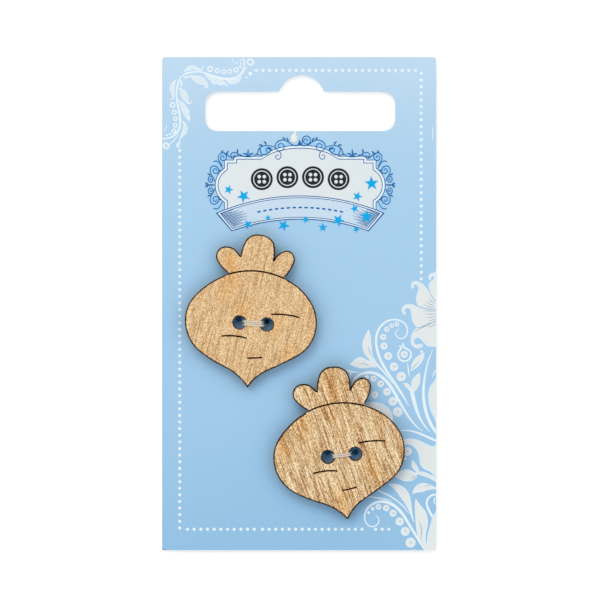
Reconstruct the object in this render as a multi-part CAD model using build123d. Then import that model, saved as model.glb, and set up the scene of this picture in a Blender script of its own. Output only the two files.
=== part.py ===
from build123d import *
from math import cos, radians, sin, sqrt, tan
import os

os.makedirs("parts", exist_ok=True)

# Two wooden buttons sewn on a printed card, lying on its back. Lengths are in millimetres,
# angles in degrees. +Z points up from the surface, +Y towards the hang slot, and the origin
# is on the surface under the middle of the card.

# Backing card: one die-cut sheet of board
card_width = 50.0
card_height = 90.0
card_thickness = 0.6
top_corner_radius = 0.5
bottom_corner_radius = 0.3

# Hang slot: a wide slot with a dome in its upper edge
slot_width = 34.7
slot_height = 7.2
slot_corner_radius = 2.2
slot_edge_distance = 6.3  # from the card's top edge down to the slot's straight upper edge
slot_shift = 0.2  # slot's middle, right of the card's middle
dome_radius = 4.25
dome_rise = 3.0  # above the slot's straight upper edge
dome_shift = 0.25  # dome's middle, right of the slot's middle
dome_corner_radius = 0.3

# Torn nick: where the slot's waste was pulled out, it took a drop of the printed face along
nick_width = 1.2
nick_length = 1.6
nick_depth = 0.15
nick_neck_width = 0.4
nick_distance = 1.25  # from the slot's lower edge down to the middle of the drop
nick_shift = -0.95  # middle of the drop, from the card's middle
nick_lean = 0.3  # how far the neck leans to the right on its way up

# Buttons: laser-cut from plywood, both to one outline
button_thickness = 3.0
hole_diameter = 2.4
hole_pitch = 5.0
engraving_width = 0.18
engraving_depth = 0.2
upper_button_place = (-8.35, -3.6)  # middle of its two holes, on the card
upper_button_turn = -4.1
lower_button_place = (7.75, -27.6)
lower_button_turn = 6.4

# Turnip outline, from the middle of the two holes. It is drawn with arcs, anticlockwise from
# the tip. Each arc starts where the last one ends, and is given by a point that it passes
# through and its end.
tip = (-0.2, -11.75)
waist_right = (4.9, 8.6)
right_slit = (2.9, 11.65)  # between the right leaf and the middle one
left_slit = (-3.2, 12.05)
waist_left = (-4.95, 8.7)
right_flank = [((1.35, -9.75), (3.45, -8.3)), ((6.0, -6.9), (8.5, -5.4)), ((10.8, -2.8), (11.55, 0.6))]
right_shoulder = [((11.25, 2.55), (10.4, 4.35)), ((8.05, 6.95), waist_right)]
right_leaf = [((6.05, 10.1), (6.7, 11.85)), ((6.35, 13.1), (5.15, 13.65)), ((3.75, 12.95), right_slit)]
middle_leaf_right = [((3.0, 13.35), (2.65, 15.0)), ((1.55, 15.9), (0.1, 16.2))]
middle_leaf_left = [((-1.5, 15.9), (-2.55, 14.7)), ((-3.0, 13.4), left_slit)]
left_leaf_inside = [((-3.7, 12.65), (-4.25, 13.2)), ((-4.9, 13.55), (-5.7, 13.65))]
left_leaf_outside = [((-7.4, 12.75), (-7.3, 10.8)), ((-6.25, 9.6), waist_left)]
left_shoulder = [((-8.25, 6.9), (-10.95, 4.35)), ((-12.0, 2.6), (-12.45, 0.6))]
left_flank = [((-11.85, -2.75), (-9.8, -5.5)), ((-7.35, -7.05), (-4.7, -8.3)), ((-2.2, -9.7), tip)]

# Engraved lines, each an arc by its start, middle and end. The first divides body and leaves.
waist_line_top = (-0.1, 9.55)
waist_line_overrun = (0.25, -0.1)  # past the outline at both ends, outwards and up
short_lines = [
    [(3.3, 1.9), (5.65, 2.0), (8.2, 1.7)],
    [(-5.5, -2.7), (-3.6, -2.5), (-1.1, -2.75)],
    [(-0.6, -6.35), (0.7, -6.25), (2.0, -6.05)],
]

# Sewing threads: each goes round through both holes and is knotted behind the card
thread_diameter = 0.3
thread_sides = 6  # flats that stand for the thread's round section
thread_gap = 0.05  # between thread and wood or card
strand_gap = 0.03  # between strands that lie side by side
upper_passes = 3
lower_passes = 2
knot_size = 1.2 * thread_diameter
knot_lift = 0.95 * thread_diameter  # of a strand where it crosses another one in the knot
knot_turn = 55.0
knot_start, knot_end, knot_step = 510, 210, -20  # degrees along the knot, between its points
knot_distance = 1.75  # from the hole's thread to the middle of the knot
knot_rise = 2 * thread_diameter  # middle of the knot, sideways of the first pass
tail_length = 1.2
tail_bend = -30.0

# Worked out from the values above
thread_radius = thread_diameter / 2
hole_radius = hole_diameter / 2
strand_pitch = thread_diameter + strand_gap
tight_bend = thread_diameter  # where the thread folds over the edge of a hole
loose_bend = 3 * thread_diameter
card_back = 2 * (knot_lift + thread_radius) + thread_gap
card_face = card_back + card_thickness
button_face = card_face + button_thickness
back_level = card_back - thread_gap - thread_radius
top_level = button_face + thread_gap + thread_radius
slot_top = card_height / 2 - slot_edge_distance
slot_bottom = slot_top - slot_height
slot_middle = slot_bottom + slot_height / 2
run_share = 0.45  # of a run that each of its two bends may take
same_place = 0.001


def strand_offsets(passes):
    """Sideways place of each pass of the thread, from the line through both holes."""
    return [(number - (passes - 1) / 2) * strand_pitch for number in range(passes)]


def strand_reach(offset):
    """How far from the button's middle a pass goes down along the wall of a hole."""
    room = hole_radius - thread_radius - thread_gap
    return hole_pitch / 2 - sqrt(room**2 - offset**2)


def hang_slot():
    slot = Pos(slot_shift, slot_middle) * RectangleRounded(slot_width, slot_height, slot_corner_radius)
    dome_x = slot_shift + dome_shift
    dome_centre_y = slot_top + dome_rise - dome_radius
    slot += Pos(dome_x, dome_centre_y) * Circle(dome_radius)
    half_chord = sqrt(dome_radius**2 - (dome_radius - dome_rise) ** 2)
    corners = [
        corner
        for corner in slot.vertices()
        if abs(corner.Y - slot_top) < same_place and abs(abs(corner.X - dome_x) - half_chord) < same_place
    ]
    return fillet(corners, dome_corner_radius)


def torn_nick():
    drop_y = slot_bottom - nick_distance
    drop = Pos(nick_shift, drop_y) * Ellipse(nick_width / 2, nick_length / 2)
    half_neck = nick_neck_width / 2
    neck = Polygon(
        (nick_shift - half_neck, drop_y),
        (nick_shift + half_neck, drop_y),
        (nick_shift + nick_lean + half_neck, slot_bottom + nick_neck_width),
        (nick_shift + nick_lean - half_neck, slot_bottom + nick_neck_width),
        align=None,
    )
    return extrude(Pos(0, 0, card_face - nick_depth) * (drop + neck), nick_depth + card_thickness)


def pierced_holes(place, turn, passes):
    """Two needle holes in the card, one under each hole of a button."""
    offsets = strand_offsets(passes)
    reach = (strand_reach(offsets[0]) + strand_reach(offsets[passes // 2])) / 2
    needle_radius = offsets[-1] + thread_radius + 2 * thread_gap
    holes = Locations((-reach, 0), (reach, 0)).locations
    through = Cylinder(needle_radius, 3 * card_thickness)
    middle = Pos(place[0], place[1], card_back + card_thickness / 2) * Rot(0, 0, turn)
    return [middle * hole * through for hole in holes]


def backing_card():
    outline = Rectangle(card_width, card_height)
    top_corners = outline.vertices().group_by(Axis.Y)[-1]
    outline = fillet(top_corners, top_corner_radius)
    bottom_corners = outline.vertices().group_by(Axis.Y)[0]
    outline = fillet(bottom_corners, bottom_corner_radius)
    card = extrude(Pos(0, 0, card_back) * (outline - hang_slot()), card_thickness)
    card -= torn_nick()
    card -= pierced_holes(upper_button_place, upper_button_turn, upper_passes)
    card -= pierced_holes(lower_button_place, lower_button_turn, lower_passes)
    return card


def turnip_outline():
    arcs = [*right_flank, *right_shoulder, *right_leaf, *middle_leaf_right, *middle_leaf_left]
    arcs += [*left_leaf_inside, *left_leaf_outside, *left_shoulder, *left_flank]
    starts = [tip, *(end for through, end in arcs)]
    return make_face([ThreePointArc(start, through, end) for start, (through, end) in zip(starts, arcs)])


def waist_line():
    outwards, upwards = waist_line_overrun
    start = (waist_left[0] - outwards, waist_left[1] + upwards)
    end = (waist_right[0] + outwards, waist_right[1] + upwards)
    return [start, waist_line_top, end]


def wooden_button(place, turn):
    button = extrude(turnip_outline(), button_thickness)
    for side in (-1, 1):
        button -= Pos(side * hole_pitch / 2, 0, button_thickness / 2) * Cylinder(
            hole_radius, 2 * button_thickness
        )
    for line in [waist_line(), *short_lines]:
        groove = trace(ThreePointArc(*line), line_width=engraving_width)
        button -= extrude(Pos(0, 0, button_thickness - engraving_depth) * groove, 2 * engraving_depth)
    return Pos(place[0], place[1], card_face) * Rot(0, 0, turn) * button


def knot_points(first_pass_offset):
    """Tail and overhand knot left of the left hole, flat behind the card."""
    centre_x = -strand_reach(first_pass_offset) - knot_distance
    centre_y = first_pass_offset + knot_rise
    centre_level = knot_lift + thread_radius
    turn = radians(knot_turn)
    points = []
    for degrees in range(knot_start, knot_end - 1, knot_step):
        step = radians(degrees)
        x = knot_size * (sin(step) + 2 * sin(2 * step))
        y = knot_size * (cos(step) - 2 * cos(2 * step))
        points.append(
            (
                centre_x + x * cos(turn) - y * sin(turn),
                centre_y + x * sin(turn) + y * cos(turn),
                centre_level - knot_lift * sin(3 * step),
            )
        )
    tail_start = points[0]
    outward = radians(knot_turn - 90)
    bent = outward + radians(tail_bend)
    elbow = (
        tail_start[0] + tail_length * cos(outward),
        tail_start[1] + tail_length * sin(outward),
        tail_start[2],
    )
    tail_end = (elbow[0] + tail_length * cos(bent), elbow[1] + tail_length * sin(bent), elbow[2])
    return [tail_end, elbow, *points]


def thread_route(passes):
    """Points of one thread from tail to tail, and the largest bend allowed at each of them."""
    offsets = strand_offsets(passes)
    knot = knot_points(offsets[0])
    points = list(knot)
    largest = [loose_bend] * len(knot)
    for offset in offsets:
        reach = strand_reach(offset)
        points += [
            (-reach, offset, back_level),
            (-reach, offset, top_level),
            (reach, offset, top_level),
            (reach, offset, back_level),
        ]
        largest += [tight_bend] * 4
    points += [(-x, -y, z) for x, y, z in reversed(knot)]
    largest += [loose_bend] * len(knot)
    return points, largest


def bend_radii(points, largest):
    radii = []
    for number in range(1, len(points) - 1):
        before = Vector(points[number]) - Vector(points[number - 1])
        after = Vector(points[number + 1]) - Vector(points[number])
        half_turn = radians(before.get_angle(after)) / 2
        shorter = min(before.length, after.length)
        radii.append(min(largest[number], run_share * shorter / tan(half_turn)))
    return radii


def sewing_thread(place, turn, passes):
    points, largest = thread_route(passes)
    radii = bend_radii(points, largest)
    route = FilletPolyline(*points, radius=radii)
    section = Plane(origin=route @ 0, z_dir=route % 0) * RegularPolygon(thread_radius, thread_sides)
    thread = sweep(section, path=route)
    print(f"thread of {passes} passes, length {route.length:.2f}")
    print(f"  bends {min(radii):.2f} to {max(radii):.2f}")
    print(f"  volume {thread.volume:.4f}, section times length {section.area * route.length:.4f}")
    return Pos(place[0], place[1]) * Rot(0, 0, turn) * thread


nodes = {
    "backing_card": backing_card(),
    "upper_button": wooden_button(upper_button_place, upper_button_turn),
    "lower_button": wooden_button(lower_button_place, lower_button_turn),
    "upper_thread": sewing_thread(upper_button_place, upper_button_turn, upper_passes),
    "lower_thread": sewing_thread(lower_button_place, lower_button_turn, lower_passes),
}
for name, solid in nodes.items():
    export_step(solid, f"parts/{name}.step")
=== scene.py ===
import math

import bmesh
import bpy
import numpy as np
from mathutils import Matrix, Vector, geometry


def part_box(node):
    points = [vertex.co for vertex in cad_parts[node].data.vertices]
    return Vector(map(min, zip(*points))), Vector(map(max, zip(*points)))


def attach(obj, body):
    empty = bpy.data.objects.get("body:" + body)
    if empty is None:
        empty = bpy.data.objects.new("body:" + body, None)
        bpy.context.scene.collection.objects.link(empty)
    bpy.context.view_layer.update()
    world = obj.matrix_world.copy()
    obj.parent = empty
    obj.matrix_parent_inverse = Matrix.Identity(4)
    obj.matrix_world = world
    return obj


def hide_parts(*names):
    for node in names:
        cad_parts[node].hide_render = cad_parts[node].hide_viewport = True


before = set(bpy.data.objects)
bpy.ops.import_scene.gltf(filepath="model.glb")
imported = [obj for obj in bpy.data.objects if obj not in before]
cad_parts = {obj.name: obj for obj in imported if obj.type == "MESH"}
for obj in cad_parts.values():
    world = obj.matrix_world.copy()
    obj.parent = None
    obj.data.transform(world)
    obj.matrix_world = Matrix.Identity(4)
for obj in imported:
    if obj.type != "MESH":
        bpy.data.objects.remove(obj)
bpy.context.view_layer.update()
mm = 0.001

# The backing card is one die-cut sheet of 0.6 mm coated board. Its face is printed blue, and its
# colour runs from pale at the top to deeper at the bottom; its back and cut edges are bare.


def paint(red, green, blue):
    """A colour given as 0 to 255, in the linear values that a shader takes."""
    shares = [value / 255 for value in (red, green, blue)]
    return (*[s / 12.92 if s <= 0.04045 else ((s + 0.055) / 1.055) ** 2.4 for s in shares], 1.0)


def tones(*stops):
    """Stops of a colour ramp, each with its place and its colour as 0 to 255."""
    return [(spot, paint(*colour)) for spot, colour in stops]


def new_finish(name, roughness, gloss=0.2):
    finish = bpy.data.materials.new(name)
    finish.use_nodes = True
    shader = finish.node_tree.nodes["Principled BSDF"]
    shader.inputs["Roughness"].default_value = roughness
    shader.inputs["Specular IOR Level"].default_value = gloss
    return finish


def add(finish, kind, inputs, output=0, **settings):
    """Adds a shader node, fills its inputs with numbers or sockets, and gives one of its outputs."""
    node = finish.node_tree.nodes.new("ShaderNode" + kind)
    for name, value in settings.items():
        setattr(node, name, value)
    for name, value in inputs.items():
        if isinstance(value, bpy.types.NodeSocket):
            finish.node_tree.links.new(value, node.inputs[name])
        else:
            node.inputs[name].default_value = value
    return node.outputs[output]


def place(finish, turn=0.0, origin=(0, 0, 0), scale=(1, 1, 1)):
    """Coordinates in millimetres from origin, turned about Z and stretched."""
    spot = add(finish, "TexCoord", {}, "Object")
    spot = add(finish, "VectorMath", {0: spot, 1: origin}, operation="SUBTRACT")
    spot = add(finish, "VectorRotate", {"Vector": spot, "Angle": turn}, rotation_type="Z_AXIS")
    return add(finish, "VectorMath", {0: spot, 1: [s / mm for s in scale]}, operation="MULTIPLY")


def noise(finish, scale, detail, roughness=0.5, spot=None):
    """Noise by the millimetre, or by the coordinates given."""
    spot = spot or place(finish)
    inputs = {"Vector": spot, "Scale": scale, "Detail": detail, "Roughness": roughness}
    return add(finish, "TexNoise", inputs, "Fac")


def steps(finish, factor, stops):
    """A colour ramp through (place, colour) stops."""
    socket = add(finish, "ValToRGB", {"Fac": factor})
    ramp = socket.node.color_ramp
    while len(ramp.elements) < len(stops):
        ramp.elements.new(1.0)
    for element, (spot, colour) in zip(ramp.elements, stops):
        element.position = spot
        element.color = colour
    return socket


def spread(finish, value, low, high, to_low=0.0, to_high=1.0):
    inputs = {"Value": value, "From Min": low, "From Max": high, "To Min": to_low, "To Max": to_high}
    return add(finish, "MapRange", inputs)


def mixed(finish, factor, first, second, how="MIX"):
    return add(finish, "Mix", {0: factor, 6: first, 7: second}, 2, data_type="RGBA", blend_type=how)


def maths(finish, how, *values):
    return add(finish, "Math", dict(enumerate(values)), operation=how)


def shaded(finish, colour, shade):
    """The colour, made darker or lighter by a shade near 1."""
    grey = add(finish, "CombineColor", {0: shade, 1: shade, 2: shade})
    return mixed(finish, 1.0, colour, grey, "MULTIPLY")


def axis(finish, kind, letter):
    """How far along X, Y or Z a place lies or a direction points."""
    return add(finish, "SeparateXYZ", {"Vector": add(finish, "TexCoord", {}, kind)}, letter)


def on_face(finish, level):
    """1 on the face, which looks up and lies above the level, and 0 elsewhere."""
    facing = maths(finish, "GREATER_THAN", axis(finish, "Normal", "Z"), steepest_face)
    lifted = maths(finish, "GREATER_THAN", axis(finish, "Object", "Z"), level)
    return maths(finish, "MULTIPLY", facing, lifted)


def coat(finish, colour, height=None, depth=0.01, strength=1.0):
    """Gives the finish its colour and, from a height of 0 to 1, its relief, depth mm deep."""
    shader = finish.node_tree.nodes["Principled BSDF"]
    finish.node_tree.links.new(colour, shader.inputs["Base Color"])
    if height is not None:
        inputs = {"Height": height, "Distance": depth * mm, "Strength": strength}
        finish.node_tree.links.new(add(finish, "Bump", inputs), shader.inputs["Normal"])
    return finish


card_low, card_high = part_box("backing_card")
card_face = card_high.z
card_blues = tones(  # from the card's foot to its top
    (0.0, (148, 194, 228)),
    (0.1, (153, 197, 230)),
    (0.3, (162, 203, 234)),
    (0.55, (166, 206, 236)),
    (0.7, (168, 208, 237)),
    (0.85, (177, 212, 238)),
    (1.0, (190, 219, 242)),
)
board_tones = tones((0.3, (216, 222, 220)), (0.7, (244, 246, 243)))
print_depth = 0.05 * mm  # anything deeper than this is bare board
steepest_face = 0.5  # upward part of its normal
noise_reach = (0.3, 0.7)  # nearly all values of a noise lie between these
card_drift = 0.02  # how far the blue wanders up or down, as a share of the card's height
card_shades = (0.985, 1.01)
fibre_scale = 6.0  # per mm
fibre_depth = 0.004


def coat_board(finish, colour):
    """Lays a colour on the board, with the board's fibres showing in relief."""
    return coat(finish, colour, noise(finish, fibre_scale, 5, 0.6), fibre_depth, 0.5)


def board_finish():
    finish = new_finish("printed_board", 0.42)
    along = axis(finish, "Object", "Y")
    drift = spread(finish, noise(finish, 0.06, 2), *noise_reach, -card_drift, card_drift)
    level = maths(finish, "ADD", spread(finish, along, card_low.y, card_high.y), drift)
    grain = spread(finish, noise(finish, 2.2, 4, 0.7), *noise_reach, *card_shades)
    blue = shaded(finish, steps(finish, level, card_blues), grain)
    layers = noise(finish, 1.5, 4, 0.6, place(finish, scale=(0.5, 0.5, 9)))
    printed = on_face(finish, card_face - print_depth)
    return coat_board(finish, mixed(finish, printed, steps(finish, layers, board_tones), blue))


card_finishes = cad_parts["backing_card"].data.materials
card_finishes.clear()
card_finishes.append(board_finish())

# The face is printed in flat inks. Each ink is a film of its own, thinner than a hair, and lies
# on the board or on the ink below it. All places of the print are pixels of the photograph.
photo_pixel = 0.1825 * mm  # on the card's face
card_middle_px = (299.1, 303.65)
ink_step = 0.012 * mm
ink_root = 0.004 * mm  # how far a film reaches into the board
curve_steps = 6
film_heights = np.random.default_rng(5)  # no two films are quite as thick, so that none share a plane
film_spread = 0.7  # of a step
finest_stroke = 0.12  # a stroke breaks off where it gets finer than this


def on_card(x, y):
    return ((x - card_middle_px[0]) * photo_pixel, (card_middle_px[1] - y) * photo_pixel)


def smooth(points, closed=False):
    """A soft curve through the points, which may carry further numbers beside x and y."""
    points = np.array(points, float)
    if closed:
        padded = np.vstack([points[-1:], points, points[:2]])
    else:
        padded = np.vstack([2 * points[:1] - points[1:2], points, 2 * points[-1:] - points[-2:-1]])
    shares = np.arange(curve_steps)[:, None] / curve_steps
    spans = []
    for p, q, r, s in zip(padded, padded[1:], padded[2:], padded[3:]):
        bend = (2 * p - 5 * q + 4 * r - s) * shares**2 + (3 * q - p - 3 * r + s) * shares**3
        spans.append(q + ((r - p) * shares + bend) / 2)
    if not closed:
        spans.append(points[-1:])
    return np.vstack(spans)


def add_field(sheet, outline):
    """A flat field of ink inside an outline."""
    spots = [on_card(x, y) for x, y in outline]
    height = 1 + film_spread * film_heights.random()
    top = [sheet.verts.new((x, y, height)) for x, y in spots]
    bottom = [sheet.verts.new((x, y, 0)) for x, y in spots]
    sheet.faces.new(top)
    sheet.faces.new(bottom[::-1])
    for k in range(len(spots)):
        sheet.faces.new((top[k - 1], bottom[k - 1], bottom[k], top[k]))


def add_dot(sheet, x, y, radius, sides=20):
    angles = [2 * math.pi * k / sides for k in range(sides)]
    add_field(sheet, [(x + radius * math.cos(a), y + radius * math.sin(a)) for a in angles])


def add_stroke(sheet, path, slim=0.0):
    """A brush stroke along (x, y, width) points, or its inside, slim narrower all over."""
    line = smooth(path)
    widths = line[:, 2] - slim
    kept = widths > finest_stroke
    line, widths = line[kept], widths[kept]
    if len(line) < 3:
        return
    along = np.gradient(line[:, :2], axis=0)
    across = np.stack([-along[:, 1], along[:, 0]], 1) / np.linalg.norm(along, axis=1)[:, None]
    left = line[:, :2] + across * widths[:, None] / 2
    right = line[:, :2] - across * widths[:, None] / 2
    rows = []
    height = 1 + film_spread * film_heights.random()
    for start, end in zip(left, right):
        ends = [on_card(*start), on_card(*end)]
        corners = [(*ends[0], height), (*ends[1], height), (*ends[1], 0), (*ends[0], 0)]
        rows.append([sheet.verts.new(corner) for corner in corners])
    for one, two in zip(rows, rows[1:]):
        for k in range(4):
            sheet.faces.new((one[k - 1], one[k], two[k], two[k - 1]))
    sheet.faces.new(rows[0])
    sheet.faces.new(rows[-1][::-1])


def finished_mesh(form, name):
    """Turns all faces outwards and makes a mesh of the form."""
    bmesh.ops.recalc_face_normals(form, faces=form.faces)
    mesh = bpy.data.meshes.new(name)
    form.to_mesh(mesh)
    form.free()
    return mesh


def new_object(name, data):
    """Puts a mesh, lamp or camera into the scene."""
    thing = bpy.data.objects.new(name, data)
    bpy.context.scene.collection.objects.link(thing)
    return thing


def print_ink(sheet, name, layer, finish):
    """Trims a film at the card's edges, lays it on its layer and makes it a piece of the card."""
    for corner, way in (
        (card_low, (-1, 0, 0)), (card_low, (0, -1, 0)), (card_high, (1, 0, 0)), (card_high, (0, 1, 0)),
    ):
        plane = {"plane_co": (corner.x, corner.y, 0), "plane_no": way, "clear_outer": True}
        everything = sheet.verts[:] + sheet.edges[:] + sheet.faces[:]
        cut = bmesh.ops.bisect_plane(sheet, geom=everything, **plane)
        rims = [edge for edge in cut["geom_cut"] if isinstance(edge, bmesh.types.BMEdge)]
        if rims:
            bmesh.ops.holes_fill(sheet, edges=rims)
    for vertex in sheet.verts:
        on_top = vertex.co.z > 0.5
        vertex.co.z = card_face + ((layer - 1 + vertex.co.z) * ink_step if on_top else -ink_root)
    mesh = finished_mesh(sheet, name)
    mesh.materials.append(finish)
    piece = new_object(name, mesh)
    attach(piece, "root")


def ink_finish(name, colour, deeper, roughness=0.4):
    """Printing ink, a little uneven, with the board's fibres showing through."""
    finish = new_finish(name, roughness, 0.1)
    body = noise(finish, 2.5, 4, 0.7)
    return coat_board(finish, steps(finish, body, tones((0.3, deeper), (0.65, colour))))


white_ink = ink_finish("white_ink", (238, 248, 254), (222, 240, 250))
rim_ink = ink_finish("rim_ink", (222, 241, 253), (210, 234, 250))
pearl_ink = ink_finish("pearl_ink", (232, 236, 235), (223, 230, 231))
vein_ink = ink_finish("vein_ink", (166, 188, 205), (148, 176, 200))
mist_ink = ink_finish("mist_ink", (190, 215, 234), (180, 208, 230))
frost_ink = ink_finish("frost_ink", (226, 237, 243), (216, 230, 239))

# A border of small white dots runs round the face, and breaks off where the corner ornaments
# take over. The dots are spaced as on the real card, with two slips in the bottom row.
dot_radius = 1.6
dot_sides = 14
dot_rows = (  # where each row starts, the way from dot to dot, and how many dots it has
    ((179.7, 150.6), (0, 6.62), 58),
    ((187.5, 529.2), (6.67, 0), 11),
    ((262.5, 529.2), (6.63, 0), 16),
    ((375.6, 529.2), (6.6, 0), 3),
    ((256.4, 70.4), (6.63, 0), 25),
    ((421.2, 73.4), (0, 6.63), 32),
)
dots = bmesh.new()
for (x, y), (right, down), count in dot_rows:
    for k in range(count):
        add_dot(dots, x + right * k, y + down * k, dot_radius, dot_sides)
print_ink(dots, "border_dots", 1, white_ink)

# The lower right of the face carries a large printed ornament of the common scroll and leaf
# kind: white stems, leaves and petals with a pearl grey inside, and rows of beads.
stem_strokes = [
    [(409, 406, 0.5), (401.5, 393.5, 2.2), (394, 382, 2.4), (387, 371.5, 2.4), (381, 361, 2.5),
     (377.5, 351, 2.4), (376, 341, 2.2), (377.5, 332, 2.1), (381.5, 325.5, 2), (387, 321.3, 1.8),
     (394, 319.6, 1.6), (400.5, 320.8, 1.4), (405.5, 324.5, 1.4), (407.6, 330, 1.3), (406, 336, 1.2),
     (401.8, 338.6, 1.1), (397.3, 337, 1), (395.4, 333.2, 0.9), (396.8, 330.2, 0.8),
     (398.8, 329.4, 0.6)],
    [(423, 431, 0.4), (417, 427, 1.2), (411, 420, 1.8), (405, 411, 2.2), (399, 401, 2.6),
     (393.5, 391, 2.9), (387.5, 382.5, 3), (381, 376.5, 2.9), (374.5, 373.2, 2.8), (368, 372.6, 2.8),
     (361, 374, 2.4), (356, 377.5, 2), (353, 382, 1.4), (351.5, 387, 0.8)],
    [(346.5, 369.8, 0.8), (350, 371.3, 2.2), (354, 372, 1.6), (359, 372.6, 0.5)],
    [(350, 370.5, 0.4), (350.6, 374, 1.6), (350.2, 378, 0.4)],
    [(376, 364.5, 2.2), (381, 369, 1.8), (387, 376, 1.4), (393, 384, 0.5)],
    [(407.6, 363, 0.5), (408.4, 370, 1.3), (409.2, 376.5, 0.5)],
    [(430, 432, 0.5), (424, 425, 1.6), (418.5, 415, 2.6), (414.8, 404, 3.4), (412.6, 395, 4),
     (411.5, 390, 3.6)],
    [(436.5, 433, 2.6), (431, 424.5, 3), (427, 415, 3.1), (424.4, 404, 3), (423.4, 392, 2.6),
     (424.3, 380, 2), (426.4, 368, 1.5), (429.3, 358, 1.1), (432.8, 349.5, 0.5)],
    [(437.5, 369, 1.4), (434.2, 372.5, 1.2), (432.4, 377.5, 0.5)],
    [(401, 430.2, 0.5), (409, 430.6, 1.3), (417, 432.6, 1.8), (426, 436.3, 2.2), (437, 441.2, 2.4)],
    [(401.8, 441.6, 0.8), (404.6, 445.2, 0.6), (405, 447, 0.4)],
    [(375.8, 489.4, 0.5), (381, 491.8, 1.3), (388, 495, 1.4), (396.5, 500.5, 1.3), (404, 507, 1.1),
     (409, 514, 0.4)],
    [(367.5, 496.6, 0.4), (376, 497.6, 1.3), (384.5, 499, 1.2), (392, 500.6, 0.4)],
    [(425.5, 551, 1.6), (416.5, 536.5, 2.4), (410, 526, 2.6), (404.2, 516.3, 2.7), (398, 508.8, 2.9),
     (391.5, 504, 3), (384.3, 501.7, 2.9), (377.2, 502.2, 2.7), (370.6, 505.3, 2.3), (366, 510.8, 1.8),
     (364.6, 517.5, 1.4), (366.6, 523.6, 1.2), (371.2, 526.6, 1.2), (376.2, 525.4, 1.1),
     (378.8, 521.2, 1), (378, 517.2, 0.8), (375.6, 515.8, 0.5)],
    [(437, 494.4, 1.8), (431.4, 495.5, 2), (427.6, 499.3, 2), (426.8, 504.6, 2), (429, 510.5, 2.4),
     (432.6, 517, 2.6)],
]
leaves = [
    [(368.6, 329.6, 0.3), (367.9, 336, 5.4), (366.9, 344, 9), (367.9, 351, 8), (371, 357.5, 5),
     (375.6, 363.4, 3), (379, 367, 2)],
    [(349.8, 364.4, 0.4), (354.6, 363.5, 6.6), (360, 362.8, 11), (366, 364, 8.4), (372, 364.4, 5.6),
     (377, 366, 3)],
    [(411, 371.2, 0.4), (413.8, 366.4, 5.4), (417.4, 361.6, 7.6), (421, 357.2, 6), (424.4, 352.6, 0.4)],
    [(413.6, 391.6, 2), (414.6, 386.5, 6.6), (416, 381.4, 8.2), (418, 376.6, 4.8), (419.6, 372.6, 0.3)],
    [(403.4, 383.2, 0.5), (406.4, 385, 4), (409.4, 388, 3.6), (411.6, 392, 2)],
    [(412.8, 460.2, 0.3), (413.4, 464, 4.2), (415.4, 468, 4.6), (418.4, 472, 2.4)],
    [(416, 472.6, 2), (422, 473.6, 4), (429, 476, 4), (437.5, 480.6, 3.6)],
    [(394.6, 476, 0.4), (399.5, 475.5, 7.6), (405.5, 475.4, 12), (411.6, 475.8, 10), (417, 475.6, 4.4)],
    [(412.6, 494, 0.4), (415.6, 490.6, 5), (421, 487.8, 9), (427.4, 487, 6.4), (437, 488.6, 1)],
    [(389, 484.2, 0.8), (395.4, 486.4, 5.4), (401, 490.6, 8.6), (405.4, 496.6, 8.6),
     (408.4, 503.6, 5.6), (410.6, 511, 3.2), (413.6, 522, 0.6)],
    [(415.6, 498.8, 0.4), (417.6, 506, 5.8), (420.6, 514, 11), (421.8, 523, 12.4), (421.6, 532, 9.4),
     (422.8, 541, 6), (426.6, 551, 2.4)],
]
leaf_veins = [
    [(368.4, 346.6, 0.3), (369.6, 351.6, 0.7), (373, 357, 0.3)],
    [(359.6, 363.4, 0.3), (365, 363.8, 0.7), (369.4, 366.4, 0.3)],
    [(411.6, 369.6, 0.3), (414.6, 365.8, 0.7), (419, 361.8, 0.3)],
    [(411.6, 476.4, 0.3), (414.4, 476.8, 0.6), (417.4, 476.6, 0.3)],
    [(411, 478.6, 0.3), (413.6, 478.6, 0.6), (416.4, 478, 0.3)],
    [(424.6, 486, 0.3), (427.6, 485.4, 0.6), (431, 485.6, 0.3)],
    [(419.4, 521, 0.3), (421.4, 529.6, 0.8), (420.6, 540, 0.4)],
]
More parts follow.
